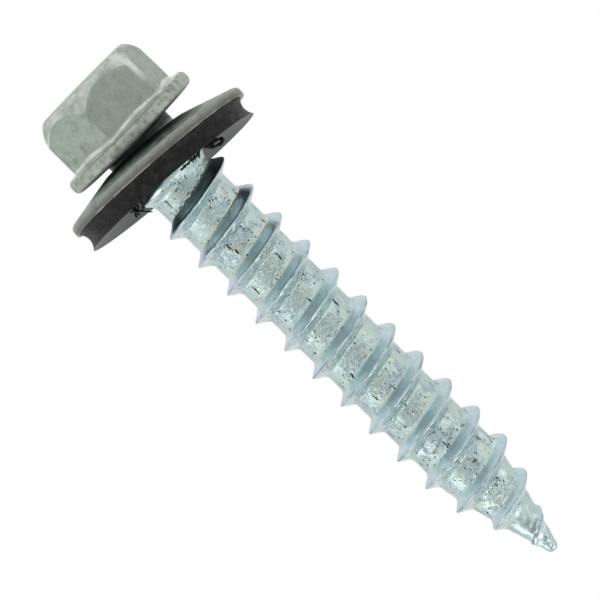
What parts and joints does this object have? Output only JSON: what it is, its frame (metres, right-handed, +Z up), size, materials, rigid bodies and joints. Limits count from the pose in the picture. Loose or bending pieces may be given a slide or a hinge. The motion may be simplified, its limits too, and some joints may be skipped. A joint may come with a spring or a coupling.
{
  "type": "roofing screw",
  "caption": "Self-tapping roofing screw with a flanged hexagon head, a coarse right-hand thread, a tapered point and a loose dished washer with a bonded rubber seal.",
  "frame": {"origin": "centre of the flat on top of the head, on the floor the screw stands on", "axes": "+Z up along the screw from the head to the point, -Y towards the front, as the picture shows it"},
  "size_m": [0.0142, 0.0142, 0.0437],
  "materials": {
    "zinc_steel": "zinc plated, matte on the head and bright on the thread",
    "washer_steel": "galvanised, matte",
    "black_rubber": "matte, die cut"
  },
  "bodies": {
    "screw": {"screw": "zinc_steel"},
    "sealing_washer": {"steel_washer": "washer_steel", "rubber_seal": "black_rubber"}
  },
  "joints": [
    {"name": "washer_slide", "type": "slide", "parent": "screw", "child": "sealing_washer", "axis": [0, 0, 1], "range_m": [-0.0003, 0.0009]}
  ]
}
